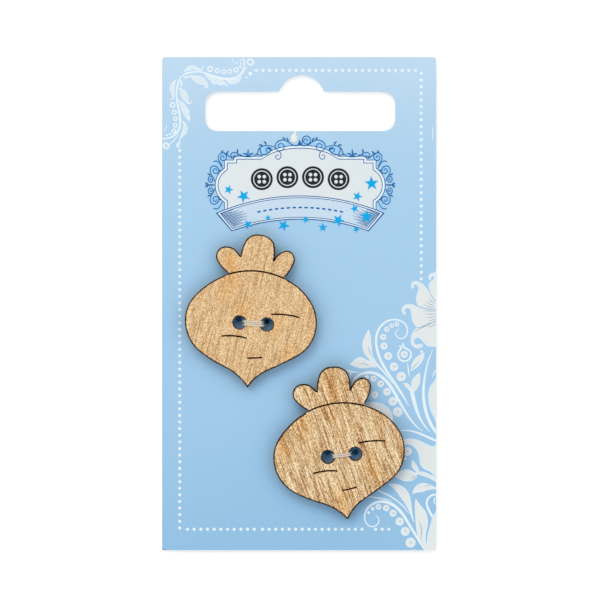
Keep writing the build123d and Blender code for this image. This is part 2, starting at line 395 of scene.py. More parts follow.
petals = [
    [(411.4, 286), (412.2, 283), (415, 281.4), (419, 282.4), (423.4, 285.2), (428, 290.6), (432, 296),
     (437.5, 302), (437.5, 310), (430, 309), (423, 308), (418.6, 305.6), (416.8, 301.5), (416.4, 297),
     (418, 292.5), (418.7, 288.6), (417.6, 285.4), (415.6, 284), (413.8, 284.8), (413.6, 287.4),
     (412.4, 288)],
    [(401.8, 310.6), (403.2, 306.8), (407, 304.7), (412, 304.8), (418, 306.8), (424.6, 308.6),
     (437.5, 310), (437.5, 320), (430, 323), (422.4, 326.8), (418, 327.2), (413.8, 323), (412, 317.5),
     (411.6, 312.8), (410.4, 309.2), (407.6, 307.6), (405, 308.6), (404.2, 311), (405, 312.8),
     (406.8, 313.2), (404.6, 314.2)],
    [(411, 340), (412.2, 334.2), (415.4, 329.6), (420.6, 327), (427.4, 324.2), (437.5, 320),
     (437.5, 344), (432.4, 346.2), (427.6, 345.6), (423.6, 341.8), (420.6, 338.6), (417.4, 337.2),
     (414.6, 338.6), (413.6, 341.4), (414.6, 344), (417.2, 345.4), (419.6, 344.2), (422.6, 345.4),
     (419.6, 347.8), (415.6, 347.6), (412, 344.6)],
    [(428.6, 277.4), (430.4, 274.2), (433.6, 273.2), (437.5, 274), (437.5, 302), (433.4, 298),
     (430.4, 292.6), (429, 286.6), (430.6, 282), (434, 279.4), (434.6, 277.4), (433, 275.8),
     (431.2, 276.8), (430.6, 279), (429.2, 279)],
    [(437.5, 380), (433, 383), (430, 388), (428.7, 395), (429.2, 403), (431.4, 411), (434.6, 417.6),
     (437.5, 421)],
    [(402.8, 439.6), (411, 439), (419, 440.8), (427, 444.6), (432.4, 446.8), (437.5, 447.2),
     (437.5, 475.4), (430.6, 471.4), (424.6, 468.6), (420.8, 464.4), (419.6, 457.4), (418.2, 452),
     (414.6, 447.2), (409.4, 444.4), (403.4, 443.4)],
    [(360, 404.6), (368, 402.9), (376, 402.6), (383.4, 405), (389, 409.6), (391.8, 415), (392, 421.6),
     (384, 424), (370, 416)],
    [(437.5, 512.6), (433.4, 516), (431.2, 523), (429, 531), (427.4, 540), (427.8, 551.5),
     (437.5, 551.5)],
]
petal_veins = [
    [(437.5, 309.6, 0.9), (430, 309.4, 0.8), (422, 307.8, 0.8), (416.6, 305.6, 0.6), (412, 303.9, 0.3)],
    [(437.5, 320.4, 0.9), (430, 323.8, 0.8), (423, 327.2, 0.8), (417.6, 329.8, 0.5),
     (414.4, 332.4, 0.3)],
    [(437.5, 302.4, 0.8), (433.4, 298.6, 0.7), (430.2, 293.2, 0.5), (428.8, 287, 0.3)],
    [(434.5, 305.6, 0.5), (430.4, 304.4, 0.7), (426.4, 301.6, 0.3)],
    [(434.5, 303.4, 0.5), (431.4, 301.6, 0.7), (428.6, 298.4, 0.3)],
    [(434, 307.4, 0.5), (429, 307, 0.7), (424.4, 304.4, 0.3)],
    [(436.5, 311.4, 0.4), (430, 311, 0.7), (423.4, 310.8, 0.3)],
    [(436.5, 313.6, 0.4), (431, 314.2, 0.7), (425.6, 314, 0.3)],
    [(436.5, 316.2, 0.4), (431.4, 317.4, 0.7), (427, 317.6, 0.3)],
    [(437, 318.6, 0.4), (433, 320, 0.6), (429, 320.4, 0.3)],
    [(437, 323.6, 0.4), (432, 326, 0.6), (428, 327, 0.3)],
]
beads = [
    (397, 324, 2.3), (391.8, 325.6, 2.2), (386.8, 329.2, 2.6), (383.2, 337, 3.1), (384, 346, 3.5),
    (388.2, 356, 3.9), (394, 366.8, 4.2), (401.2, 376.6, 4.7), (366.8, 377, 1.8), (373.6, 378.6, 3),
    (380.6, 383.8, 3.3), (387, 391.8, 3.8), (392.8, 401.4, 4.3), (397.5, 412, 4.7), (374.6, 394.8, 3.5),
    (407.4, 451.4, 4.3), (405.6, 458.6, 1.2), (421.6, 351.6, 1.4), (368.6, 512.6, 1.5),
    (372.6, 508.8, 1.8), (378.4, 506.8, 2.8), (386.2, 508, 3.2), (393, 513.2, 3.5), (399.6, 521.6, 4.1),
    (405.2, 531.4, 4.4), (410.6, 542.6, 5), (413, 554.4, 4.8), (404.2, 354.4, 3.4),
]
bud_ring = [(399.4, 345.8), (401.4, 347.8), (399.2, 351), (398.2, 355.2), (400.2, 359.6), (404.6, 361.2),
            (409, 359.4), (411.2, 355), (409.8, 350.8), (406.2, 348.6), (403, 346), (403.4, 343.2)]
bud_ring_width = 1.7
curl_ring = [(437, 497.6, 0.9), (434.6, 499, 1.1), (434, 501.8, 1.1), (435.6, 504, 0.9), (437, 504.4, 0.8)]
rim_width = 1.5
petal_rim_width = 1.1
bead_eye_radius = 0.75
bead_eye_shift = (0.5, -0.2)
bead_eye_sides = 10
smallest_ringed_bead = 2.1

whites, pearls, veins, petal_rims = (bmesh.new() for _ in range(4))
for path in stem_strokes:
    add_stroke(whites, path)
for path in leaves:
    add_stroke(whites, path)
    add_stroke(pearls, path, rim_width)
for outline in petals:
    add_field(pearls, smooth(outline, closed=True))
for path in leaf_veins + petal_veins:
    add_stroke(veins, path)
for x, y, radius in beads:
    add_dot(whites, x, y, radius)
    if radius > smallest_ringed_bead:
        add_dot(pearls, x, y, radius - rim_width / 2)
        add_dot(veins, x + bead_eye_shift[0], y + bead_eye_shift[1], bead_eye_radius, bead_eye_sides)
add_stroke(whites, [(x, y, bud_ring_width) for x, y in bud_ring])
add_stroke(whites, curl_ring)
for outline in petals:
    add_stroke(petal_rims, [(x, y, petal_rim_width) for x, y in outline + outline[:1]])
print_ink(whites, "side_ornament", 1, white_ink)
print_ink(pearls, "side_ornament_insides", 2, pearl_ink)
print_ink(petal_rims, "side_ornament_rims", 3, rim_ink)
print_ink(veins, "side_ornament_veins", 4, vein_ink)

# The upper left corner has a smaller ornament of the same kind. One branch runs right along the
# top and one runs down the left edge, each with leaves on one side and beads on the other.
corner_strokes = [
    [(179.5, 78, 0.6), (186, 73.6, 1.9), (193, 72, 1.6), (201, 72, 1.5), (209, 74.6, 1.9),
     (217, 77.4, 2.2), (226, 78.8, 2.2), (234, 78, 2), (240, 74.6, 1.8), (243.6, 69, 1.7),
     (244.4, 62, 1.5), (242.4, 56, 1.2)],
    [(238, 77.4, 0.4), (243, 73, 1), (247.4, 67, 0.5)],
    [(181, 76, 0.8), (177.8, 84, 1.7), (176.6, 92, 1.6), (176.8, 100, 1.8), (178.4, 108, 2),
     (179.9, 117, 2.2), (180.1, 125.6, 2.2), (177.5, 132, 2), (172, 136.8, 1.8), (166, 138.6, 1.5),
     (161, 138.6, 1.2)],
    [(178.4, 134.4, 0.5), (173.6, 140.4, 1.1), (169.6, 144.6, 0.5)],
    [(200.6, 70.4, 0.6), (202.8, 68, 1.2), (203.2, 65.4, 0.5)],
    [(174, 97.6, 0.6), (172.6, 98.8, 1.2), (169.8, 99.4, 0.5)],
    [(207.6, 86, 1), (207, 87.6, 1.2), (204, 87.4, 0.5)],
    [(188, 103, 1), (190.4, 103, 1.2), (191.4, 100.4, 0.5)],
    [(232, 57, 0.5), (233, 61, 0.9), (236, 63.4, 0.9), (239, 62, 0.4)],
    [(180, 138, 0.8), (179.6, 142, 1.3), (178.6, 145, 1.2)],
    [(163.4, 131, 0.5), (166, 128, 0.9), (166.4, 124.6, 0.4)],
]
corner_leaves = [
    [(183.8, 71.8, 0.5), (188, 68.8, 3.6), (193, 67.6, 4.4), (198, 69.2, 2.8), (202, 70, 0.6)],
    [(190, 75, 0.5), (194.6, 78, 5.2), (199.4, 80, 7.4), (204, 82.4, 5.8), (208, 86.6, 1.4)],
    [(205, 75.4, 0.5), (211, 78.6, 4.2), (217, 80.8, 5.8), (222.6, 82.4, 4), (226, 84.8, 1.4),
     (228.8, 87.6, 0.4)],
    [(226, 80, 0.5), (230.4, 81.6, 3.6), (235, 81.4, 4.8), (239, 79.4, 3), (241.4, 76, 0.5)],
    [(183.4, 77.2, 0.4), (186.6, 77.4, 2.2), (190.4, 76, 0.4)],
    [(176, 79.6, 0.5), (173.2, 84, 3.8), (172.2, 89, 4.8), (173.2, 94, 2.8), (174, 98, 0.7)],
    [(178.6, 87.6, 0.5), (182.8, 92, 5.2), (185.2, 97, 6.4), (187, 101.6, 3), (188.6, 104, 0.8)],
    [(178.4, 99.6, 0.5), (182.4, 105, 4.6), (185.2, 111, 6.2), (187.2, 116.6, 4.2), (189.6, 121, 0.6)],
    [(182.6, 120.4, 0.5), (185.2, 126, 3.6), (184.6, 131, 5), (182.2, 135, 3.2), (180, 139, 0.8)],
    [(180.4, 79, 0.4), (181.6, 84, 2.2), (180.8, 87.6, 0.4)],
    [(178.8, 142.6, 0.8), (178, 145.4, 4.4), (178.2, 147.8, 1)],
]
corner_beads = [
    (210, 69, 3.1), (217.4, 70.8, 2.6), (223.8, 71.6, 2.5), (230, 71.4, 2.5), (236.2, 70, 2.7),
    (240.2, 67, 1.3), (241, 63.6, 1.1), (241, 60.4, 0.9), (172.6, 105, 3), (174.2, 112.2, 2.6),
    (175.4, 118.8, 2.5), (175.4, 125.4, 2.5), (173.8, 131, 2.4), (170, 134, 1.3), (166.8, 135.2, 1.1),
    (250.4, 62, 3.8), (166.2, 145.8, 3.6), (250.2, 73.6, 1.9), (246.6, 77.2, 1),
]
fringe = [
    [(211, 81, 0.4), (213.4, 83.4, 1.1), (216.4, 84.4, 0.4)],
    [(217.4, 83, 0.4), (219.6, 85, 1), (222.6, 85.2, 0.4)],
    [(227.4, 81.4, 0.4), (229.4, 83.6, 1), (232.4, 84, 0.4)],
    [(186.6, 108, 0.4), (188.6, 110.4, 1), (189, 113.4, 0.4)],
    [(187.6, 114.4, 0.4), (189.4, 116.4, 1), (189.6, 119, 0.4)],
]
corner_bead_sides = 16
corner_eye_share = 2.6  # how many times its eye's radius a bead's own is
corner_ring_share = 1.6

whites, pearls, veins = (bmesh.new() for _ in range(3))
for path in corner_strokes + corner_leaves + fringe:
    add_stroke(whites, path)
for path in corner_leaves:
    add_stroke(pearls, path, rim_width)
for x, y, radius in corner_beads:
    add_dot(whites, x, y, radius, corner_bead_sides)
    if radius > smallest_ringed_bead:
        add_dot(veins, x, y, radius / corner_eye_share, bead_eye_sides)
        add_dot(pearls, x, y, radius / corner_ring_share, dot_sides)
print_ink(whites, "corner_ornament", 1, white_ink)
print_ink(pearls, "corner_ornament_insides", 2, frost_ink)
print_ink(veins, "corner_ornament_veins", 3, mist_ink)

# Under the hang slot is a printed label: a pale plate with stepped corners and a double outline,
# a row of plain buttons on it, scrolls round its edge, a ribbon across its foot and some stars.
label_middle = 300.2
arch = [(300.2, 148.6), (291.5, 149.0), (283, 150.3), (275, 152.5), (269, 155.2), (261.5, 159.6)]
upper_step = (237.0, 159.6)
lower_step = (227.7, 163.4)
lobe_centre = (235.5, 185.2)
lobe_radius = 17.0
plate_foot = 214.0


def arc(centre, radius, start, end, count=16):
    """Points on an arc from start to end, in degrees clockwise from the right, as y runs down."""
    angles = np.radians(np.linspace(start, end, count))
    return [(centre[0] + radius * math.cos(a), centre[1] + radius * math.sin(a)) for a in angles]


def plate_outline(grow):
    """The plate's left half and its mirror image, grown outwards all round."""
    half = [(x, y - grow) for x, y in smooth(arch)]
    side = lower_step[0] - grow
    half += [(upper_step[0] - grow, y - grow) for y in (upper_step[1], lower_step[1])]
    half.append((side, lower_step[1] - grow))
    lobe = lobe_radius + grow
    opening = math.degrees(math.acos((lobe_centre[0] - side) / lobe))
    half += arc(lobe_centre, lobe, 180 + opening, 180 - opening, 20)
    half.append((side, plate_foot))
    return half + [(2 * label_middle - x, y) for x, y in half[:0:-1]]


line_ink = ink_finish("line_ink", (16, 98, 160), (10, 86, 148))
scroll_ink = ink_finish("scroll_ink", (16, 104, 166), (10, 94, 156))
sky_ink = ink_finish("sky_ink", (160, 211, 249), (150, 203, 246))
plate_ink = ink_finish("plate_ink", (227, 235, 238), (220, 229, 233))
dark_ink = ink_finish("dark_ink", (38, 42, 46), (28, 31, 35))
cyan_ink = ink_finish("cyan_ink", (8, 176, 238), (4, 166, 230))
ribbon_ink = ink_finish("ribbon_ink", (206, 226, 241), (196, 219, 238))


def print_fields(outline, fields):
    """Prints one outline over and over, each time larger or smaller, in an ink of its own."""
    for name, size, layer, finish in fields:
        sheet = bmesh.new()
        add_field(sheet, outline(size))
        print_ink(sheet, name, layer, finish)


print_fields(plate_outline, (
    ("label_outer_line", 3.7, 2, line_ink),
    ("label_band", 2.9, 3, white_ink),
    ("label_inner_line", 0.8, 4, line_ink),
    ("label_plate", 0.0, 5, plate_ink),
))


def add_mirrored(sheet, path):
    add_stroke(sheet, path)
    add_stroke(sheet, [(2 * label_middle - x, y, width) for x, y, width in path])


# Fine scrolls run along the plate's edge, as in old printers' frames. Each is drawn for the left
# half and turned over for the right half, and those beside the lobes are turned over downwards too.
torn_place = (293.9, 137.9)  # the nick in the board has taken one of the scrolls along
torn_reach = 5.0
lobe_level = lobe_centre[1] - 0.2
scroll_width = 0.85
scroll_ends = (1.1, 0.75)  # its width at its outer and inner end, as shares of that
twig_widths = (0.5, 1.7 * scroll_width, 0.35)
top_scrolls = [
    [(298.6, 145.4), (295.4, 145.8), (292, 144.6), (288.6, 142.2), (284.6, 140.2), (280.6, 140.2),
     (277, 142.2), (275.2, 145.4), (275.8, 148.8), (278.4, 150.8), (281.8, 150.6), (284, 148),
     (283.6, 144.8), (281, 143.6), (278.6, 144.8), (278.4, 147), (280, 147.8)],
    [(277.2, 150.5), (279.6, 151.9), (281, 154.6), (280.6, 157.6), (278.4, 159.4), (276, 158.4),
     (275.6, 156.2), (277.2, 154.8), (278.8, 155.8)],
    [(298.9, 145.5), (298, 142), (297.8, 138.8), (295.8, 136.4), (292.8, 136.2), (290.4, 138.2),
     (290, 141.2), (291.6, 143.6), (294.4, 144), (296.6, 142.4), (296.2, 139.8), (294.2, 138.8),
     (292.8, 140.4), (294, 141.4)],
    [(256.8, 155.2), (257.6, 152.4), (259, 148.8), (261.6, 146.6), (265.6, 145.6), (270, 145.8),
     (274.6, 147.2)],
    [(259.8, 147.8), (260.4, 150.8), (261.4, 153.8), (264.4, 155), (267.8, 153.8), (270.4, 151.4),
     (271, 148.8), (268.8, 147.4), (266.4, 148.4), (266, 150.8), (267.6, 151.4)],
    [(240.2, 154.6), (243, 156.2), (246, 156.8), (250, 156.8), (253.4, 156.2), (256.4, 154.2),
     (259.4, 154.8), (262.6, 156.2)],
    [(243, 156.4), (239.8, 155.2), (237, 153.2), (234, 152.4), (231.4, 153.4), (230.8, 155.6),
     (232.4, 157), (234.4, 156.2), (234.4, 154.8)],
    [(238.6, 154.4), (236.2, 156.4), (233.8, 158.2)],
    [(232.6, 158.4), (229.4, 156.6), (226.8, 154.2), (223.4, 152.8), (220.2, 153.8), (218.4, 156.8),
     (218.8, 160.2), (220.8, 163), (222.2, 166.4)],
    [(223.4, 152.8), (226, 154.6), (226.4, 158), (224.4, 160.4), (221.6, 160.2), (220.6, 157.8),
     (222, 155.8), (224, 156.4), (223.6, 158.2)],
]
side_scrolls = [
    [(213.6, 161.8), (216, 161), (218.6, 162), (220.4, 164.8), (222.6, 168.6)],
    [(221.4, 170), (219.6, 170.6), (218.4, 168.8), (216.6, 166.8), (213.8, 165.8), (211.2, 167),
     (210.2, 170), (210.8, 173.4), (212.4, 176.4), (214, 179), (214.6, 181.4)],
    [(218.6, 169), (218.8, 171.6), (216.8, 173.4), (214.2, 173), (213, 170.8), (214.2, 168.8),
     (216.2, 169.2), (216.2, 171)],
    [(214.2, 180), (213.2, 177.6), (211, 176), (208.8, 177.2), (208.2, 179.8), (209.6, 182),
     (212, 181.8), (212.6, 179.6), (211, 178.4), (210, 179.8), (211, 180.6)],
]
top_twigs = [
    [(284.8, 140.4), (284, 138.6), (282.6, 137)],
    [(288.4, 142), (287.6, 139.4), (285.8, 137.6)],
    [(266.2, 145.2), (265.4, 142.8), (263.6, 141.2)],
    [(262.6, 146), (260.6, 144.8), (258.6, 145.8)],
    [(267, 148.2), (270, 149.2), (272.4, 151.2)],
    [(248, 156.6), (248, 152.6), (248.2, 149)],
    [(248, 156.4), (245.4, 153.8), (242.6, 154)],
    [(248.4, 156.4), (251, 153.8), (254, 153.8)],
    [(237.6, 153), (237.4, 150.8), (238, 149)],
    [(221.6, 153.4), (222, 151.6), (223.4, 150.4)],
    [(226.4, 154.8), (227.2, 152.6), (228.8, 151)],
]
side_twigs = [
    [(215, 185), (211.2, 185), (205, 185)],
    [(208.4, 184.4), (206.6, 183.4), (205.2, 183)],
    [(210.6, 174.6), (208.8, 174.4), (207.6, 173)],
]
top_grounds = [
    (279.8, 146, 4.6), (294, 140.2, 3.8), (287.2, 144.4, 2.2), (264.4, 150.6, 4.6), (270.2, 150, 3.4),
    (248.2, 154.4, 2.6), (233.6, 155.2, 2.6), (238.2, 156.2, 1.8), (222.4, 157.4, 4.4),
]
side_grounds = [(214.8, 169.6, 4.4), (211.0, 179.4, 2.9), (218.4, 164.4, 2.6)]
finial = [(299.6, 139.6), (301.8, 145.2), (297.6, 145.2)]


def fading(path):
    """A scroll's line, which thins out towards its inner end."""
    widths = scroll_width * np.linspace(*scroll_ends, len(path))
    return [(x, y, width) for (x, y), width in zip(path, widths)]


def pointed(path):
    """A twig, thickest at its middle."""
    return [(x, y, width) for (x, y), width in zip(path, twig_widths)]


skies, scrolls = bmesh.new(), bmesh.new()
lines = [fading(path) for path in top_scrolls] + [pointed(path) for path in top_twigs]
side_lines = [fading(path) for path in side_scrolls] + [pointed(path) for path in side_twigs]
lines += side_lines + [[(x, 2 * lobe_level - y, width) for x, y, width in path] for path in side_lines]
grounds = top_grounds + side_grounds + [(x, 2 * lobe_level - y, radius) for x, y, radius in side_grounds]
for side in (1, -1):
    for path in lines:
        path = [(label_middle + side * (x - label_middle), y, width) for x, y, width in path]
        if min(math.dist(point[:2], torn_place) for point in path) > torn_reach:
            add_stroke(scrolls, path)
    for x, y, radius in grounds:
        middle = label_middle + side * (x - label_middle)
        if math.dist((middle, y), torn_place) > torn_reach:
            add_dot(skies, middle, y, radius)
add_field(scrolls, finial)
print_ink(skies, "label_scroll_ground", 1, sky_ink)
print_ink(scrolls, "label_scrolls", 6, scroll_ink)

# The ribbon is an arched band with slanting ends. Its ends are shaded with fine lines, and a
# row of stitches runs along its middle.
ribbon_top = (407.0, 211.0)  # middle, down the picture, and radius of its upper edge
ribbon_bottom = (423.6, 204.6)
ribbon_top_half = 83.2
ribbon_bottom_half = 68.2
ribbon_top_slant = 1.7  # how fast the ribbon's upper and lower corners draw in as it shrinks
ribbon_bottom_slant = 0.8
hatch_lines = 13
hatch_start = (221.0, 213.2)
hatch_run = (12.6, 13.8)  # from the first line's start to the last one's
hatch_length = 11.0
hatch_swell = 8.0  # longer by so much at mid height
hatch_drop = 4.0  # every second line is shorter by so much
hatch_shape = ((0.0, 0.0, 0.9), (0.5, -0.2, 0.65), (1.0, -0.36, 0.3))  # a line 1 long, and its widths
stitches = 15
stitch_gap = 1.7  # degrees from stitch to stitch
stitch_length = 0.95
stitch_width = 1.6


def ribbon_outline(shrink):
    """The ribbon's two arched edges, drawn in all round."""
    edges = []
    for (middle, radius), half, slant, way in (
        (ribbon_top, ribbon_top_half, ribbon_top_slant, 1),
        (ribbon_bottom, ribbon_bottom_half, ribbon_bottom_slant, -1),
    ):
        reach = way * math.degrees(math.asin((half - slant * shrink) / radius))
        edges += arc((label_middle, middle), radius - way * shrink, -90 - reach, -90 + reach, 30)
    return edges


print_fields(ribbon_outline, (
    ("ribbon_edge", -0.5, 6, line_ink),
    ("ribbon_band", 0.4, 7, white_ink),
    ("ribbon_line", 1.4, 8, line_ink),
    ("ribbon", 2.1, 9, ribbon_ink),
))

thread_blue_ink = ink_finish("thread_blue_ink", (16, 106, 180), (10, 96, 170))
shading, stitching = bmesh.new(), bmesh.new()
for k in range(hatch_lines):
    share = (k + 0.5) / hatch_lines
    x, y = (start + run * share for start, run in zip(hatch_start, hatch_run))
    reach = hatch_length + hatch_swell * math.sin(math.pi * share) - hatch_drop * (k % 2)
    line = [(x + reach * right, y + reach * down, width) for right, down, width in hatch_shape]
    add_mirrored(shading, line)
stitch_row = (ribbon_top[1] + ribbon_bottom[1] - ribbon_bottom[0] + ribbon_top[0]) / 2
half_stitch = stitch_length / 2
for k in range(stitches):
    middle = -90 + (k - (stitches - 1) / 2) * stitch_gap
    ends = arc((label_middle, ribbon_top[0]), stitch_row, middle - half_stitch, middle + half_stitch, 3)
    add_stroke(stitching, [(x, y, stitch_width) for x, y in ends])
print_ink(shading, "ribbon_shading", 10, line_ink)
print_ink(stitching, "ribbon_stitches", 10, thread_blue_ink)

# Four plain round buttons with four holes each are printed in a row on the plate. Stars of
# several sizes are scattered round them and over the ribbon.
icon_places = [(261.8, 179.2), (287.4, 177.2), (313.0, 177.2), (338.6, 179.2)]
icon_radius = 11.0
icon_ring_radius = 8.2
icon_ring_width = 0.9
icon_hole_radius = 1.8
icon_hole_distance = 3.6
icons, icon_lights = bmesh.new(), bmesh.new()
for x, y in icon_places:
    add_dot(icons, x, y, icon_radius, 36)
    ring = arc((x, y), icon_ring_radius, 0, 360, 25)
    add_stroke(icon_lights, [(*spot, icon_ring_width) for spot in ring])
    for hole in arc((x, y), icon_hole_distance, 45, 315, 4):
        add_dot(icon_lights, *hole, icon_hole_radius, dot_sides)
print_ink(icons, "label_buttons", 6, dark_ink)
print_ink(icon_lights, "label_button_holes", 7, plate_ink)

stars_at = [
    (228.6, 189.6, 4.8), (243.6, 196.2, 6.8), (371.6, 183.4, 7.4), (357.4, 196.4, 5.2),
    (247.8, 224.2, 5), (268, 217.8, 3.4), (283.6, 225.4, 5.8), (305.4, 219.4, 3.8), (322.8, 227.4, 4.4),
    (338.4, 220.2, 6.6), (354.6, 208.6, 4.6), (366.4, 216.8, 7.2), (356.2, 229.2, 3.4),
]
star_waist = 0.4  # radius of its inner corners, as a share of its points'
star_lean = 25  # degrees from one star's turn to the next one's
star_step = 360 / 5
stars = bmesh.new()
for number, (x, y, radius) in enumerate(stars_at):
    spots = []
    for k in range(5):
        lean = star_lean * number + star_step * k
        waist = star_waist * radius
        spots += arc((x, y), radius, lean, 0, 1) + arc((x, y), waist, lean + star_step / 2, 0, 1)
    add_field(stars, spots)
print_ink(stars, "stars", 11, cyan_ink)

# Handling has left its marks: the printed face is scuffed near its right edge, and the lower left
# corner is rubbed. The needle has frayed the face where it went through, under the buttons' holes;
# the dark rings and black dots there are partly that fraying and partly painted shade of the holes.
scuffs = bmesh.new()
add_stroke(scuffs, [(432.7, 126, 0.3), (432.9, 131, 0.9), (432.7, 137, 0.7), (432.6, 141.4, 0.3)])
print_ink(scuffs, "scuff", 1, white_ink)
grime = ink_finish("grime", (120, 138, 150), (96, 112, 126), 0.8)
rubbed = bmesh.new()
add_stroke(rubbed, [(162.0, 546.4, 0.3), (162.6, 549.2, 0.9), (165.4, 550.2, 0.8), (169, 550.4, 0.3)])
print_ink(rubbed, "rubbed_corner", 1, grime)
prick_sides = 11
needle_pricks_painted_shade = [(238.6, 318.8), (267.0, 321.6), (327.2, 451.6), (355.4, 452.4)]
# Each prick gets a darker ring and a black dot: partly fraying, and partly painted shade that darkens the
# floor of the button's hole.
for name, radius, finish in (
    ("frayed_pricks_and_painted_shade", 3.0, ink_finish("frayed_board_and_painted_shade", (96, 136, 168), (82, 120, 152), 0.8)),
    ("needle_pricks_painted_shade", 1.4, ink_finish("painted_hole_shade", (24, 32, 40), (16, 22, 28), 0.9)),
):
    pricks = bmesh.new()
    for x, y in needle_pricks_painted_shade:
        add_dot(pricks, x, y, radius, prick_sides)
    print_ink(pricks, name, 1, finish)

# Each button is sawn from 3 mm plywood by a laser, all to one outline. The cut leaves the edge
# black-brown, and the face keeps a thin dark line beside every cut and engraved line, partly
# scorching and partly painted shade as dark as the shade at the foot of the walls.
ring_distances = (0.1, 0.22, 0.4)  # of the mesh's rows beside each cut, in mm
ring_spacing = 0.32
lattice_spacing = 0.7
same_spot = 0.0001
line_start = 0.11  # engraved lines give the face less scorch and painted shade than through cuts do, and theirs fades faster
line_fade = 2  # and their scorching fades faster
deepest_line = 1.0  # what goes deeper is a through cut
hole_start = 0.1  # the holes give the face less of it too, and lie within this distance of the button's middle
hole_reach = 5.5  # and lie within this distance of the button's middle
crowded = 0.97  # a row's point is left out if another cut is nearer than this share of its distance
soft_bend = math.radians(30)  # the mesh stays sharp where it bends more than this


def nearest_cut(points, cuts):
    """Distance of each point from the nearest cut line."""
    start, run = cuts[:, 0], cuts[:, 1] - cuts[:, 0]
    away = points[:, None] - start
    share = np.clip((away * run).sum(2) / (run**2).sum(1), 0, 1)
    return np.linalg.norm(away - share[..., None] * run, axis=2).min(1)


def on_wood(points, cuts):
    """Whether each point lies on the face, which is inside the outline and outside holes and lines."""
    x, y = points[:, 0, None], points[:, 1, None]
    (x0, y0), (x1, y1) = cuts[:, 0].T, cuts[:, 1].T
    spans = (y0 > y) != (y1 > y)
    with np.errstate(divide="ignore", invalid="ignore"):
        crossing = x < x0 + (y - y0) * (x1 - x0) / (y1 - y0)
    return (spans & crossing).sum(1) % 2 == 1


def face_mesh_points(cuts):
    """Rows of points beside the cuts, and a lattice over the rest of the face."""
    rows = []
    for start, end in cuts:
        run = end - start
        length = np.linalg.norm(run)
        side = np.array([-run[1], run[0]]) / length
        count = max(1, round(length / ring_spacing))
        for share in (np.arange(count) + 0.5) / count:
            for distance in ring_distances:
                rows += [start + run * share + side * distance, start + run * share - side * distance]
    rows = np.array(rows)
    near = nearest_cut(rows, cuts)
    asked = np.tile(np.repeat(ring_distances, 2), len(rows) // (2 * len(ring_distances)))
    rows = rows[near > crowded * asked]
    low, high = cuts.min((0, 1)), cuts.max((0, 1))
    grid = np.mgrid[low[0] : high[0] : lattice_spacing, low[1] : high[1] : lattice_spacing]
    grid = grid.reshape(2, -1).T
    grid[:, 0] += (np.round((grid[:, 1] - low[1]) / lattice_spacing) % 2) * lattice_spacing / 2
    grid = grid[nearest_cut(grid, cuts) > ring_distances[-1] + lattice_spacing / 3]
    points = np.vstack([rows, grid])
    return points[on_wood(points, cuts)]


def wooden_piece(node, name):
    """The CAD button with its face divided finely, so that it can carry the distance to the cuts."""
    solid = bmesh.new()
    solid.from_mesh(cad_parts[node].data)
    scorch_and_shade = solid.verts.layers.float.new("from_cut")
    bmesh.ops.remove_doubles(solid, verts=solid.verts, dist=same_spot * mm)
    level = max(vertex.co.z for vertex in solid.verts)
    face = {f for f in solid.faces if all(abs(v.co.z - level) < same_spot * mm for v in f.verts)}
    rim = [e for e in solid.edges if sum(f in face for f in e.link_faces) == 1]
    corners = list({v for e in rim for v in e.verts})
    number = {v: k for k, v in enumerate(corners)}
    cuts = np.array([[v.co[:2] for v in e.verts] for e in rim]) / mm
    walls = [next(f for f in e.link_faces if f not in face) for e in rim]
    through = np.array([min(v.co.z for v in wall.verts) < level - deepest_line * mm for wall in walls])
    inner = face_mesh_points(cuts)
    places = np.vstack([[np.array(v.co[:2]) / mm for v in corners], inner])
    box_middle = (cuts.min((0, 1)) + cuts.max((0, 1))) / 2
    holes = through & (np.linalg.norm(cuts.mean(1) - box_middle, axis=1) < hole_reach)
    depths = nearest_cut(places, cuts[through & ~holes])
    depths = np.minimum(depths, hole_start + nearest_cut(places, cuts[holes]))
    depths = np.minimum(depths, line_start + line_fade * nearest_cut(places, cuts[~through]))
    for corner, depth in zip(corners, depths):
        corner[scorch_and_shade] = depth
    spots = [Vector(place) for place in places]
    bmesh.ops.delete(solid, geom=list(face), context="FACES_ONLY")
    edges = [tuple(number[v] for v in e.verts) for e in rim]
    flat, _, triangles, sources, _, _ = geometry.delaunay_2d_cdt(spots, edges, [], 0, same_spot)
    middles = np.array([np.mean([flat[k] for k in t], axis=0) for t in triangles])
    kept = on_wood(middles, cuts)
    made = {}
    for k, source in enumerate(sources):
        if source[0] < len(corners):
            made[k] = corners[source[0]]
        else:
            made[k] = solid.verts.new((flat[k].x * mm, flat[k].y * mm, level))
            made[k][scorch_and_shade] = depths[source[0]]
    for triangle, keep in zip(triangles, kept):
        if keep:
            solid.faces.new([made[k] for k in triangle])
    for loose in [v for v in solid.verts if not v.link_faces]:
        solid.verts.remove(loose)
    mesh = finished_mesh(solid, name)
    mesh.shade_smooth()
    mesh.set_sharp_from_angle(angle=soft_bend)
    piece = new_object(name, mesh)
    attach(piece, "root")
    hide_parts(node)
    return piece


